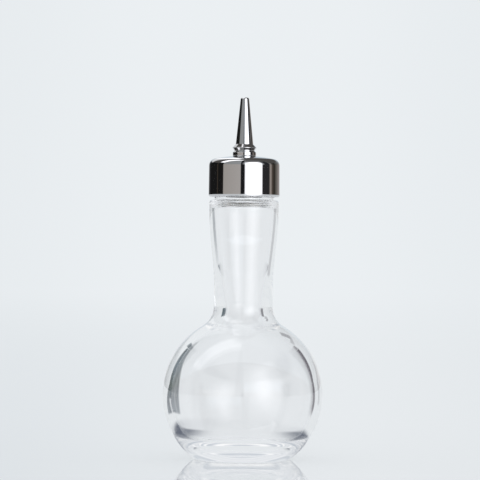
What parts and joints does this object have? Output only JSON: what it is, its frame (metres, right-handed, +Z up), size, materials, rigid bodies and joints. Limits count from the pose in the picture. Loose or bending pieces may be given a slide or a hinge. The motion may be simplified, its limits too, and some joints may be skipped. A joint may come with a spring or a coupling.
{
  "type": "bitters bottle",
  "caption": "Clear glass bottle with a globe body and a waisted, flaring neck, closed by a chromed screw cap that carries a conical pouring nozzle.",
  "frame": {"origin": "centre of the foot, in the plane that the bottle stands on", "axes": "+Z up along the bottle's axis, towards the nozzle; -Y towards the picture's camera; +X to the picture's right"},
  "size_m": [0.0624, 0.0624, 0.1409],
  "materials": {
    "clear_glass": "clear, polished",
    "chrome_shell": "mirror polished",
    "liner_plastic": "natural moulded polypropylene",
    "washer_rubber": "translucent silicone",
    "chrome_nozzle": "mirror polished",
    "ring_rubber": "matt",
    "nut_steel": "turned",
    "dash_plastic": "moulded polyethylene"
  },
  "bodies": {
    "bottle": {"bottle": "clear_glass"},
    "washer": {"rim_washer": "washer_rubber"},
    "cap": {"cap_shell": "chrome_shell", "threaded_insert": "liner_plastic", "nozzle": "chrome_nozzle", "nozzle_o_ring": "ring_rubber", "nozzle_nut": "nut_steel", "dash_insert": "dash_plastic"}
  },
  "joints": [
    {"name": "cap_rise", "type": "slide", "parent": "bottle", "child": "washer", "axis": [0, 0, 1], "range_m": [0, 0.00953]},
    {"name": "cap_turn", "type": "hinge", "parent": "washer", "child": "cap", "pos_m": [0, 0, 0.1156], "axis": [0, 0, 1], "range_deg": [0, 1080]}
  ],
  "couplings": [
    {"joint": "cap_rise", "follows": "cap_turn", "m_per_rad": 0.00050532}
  ]
}
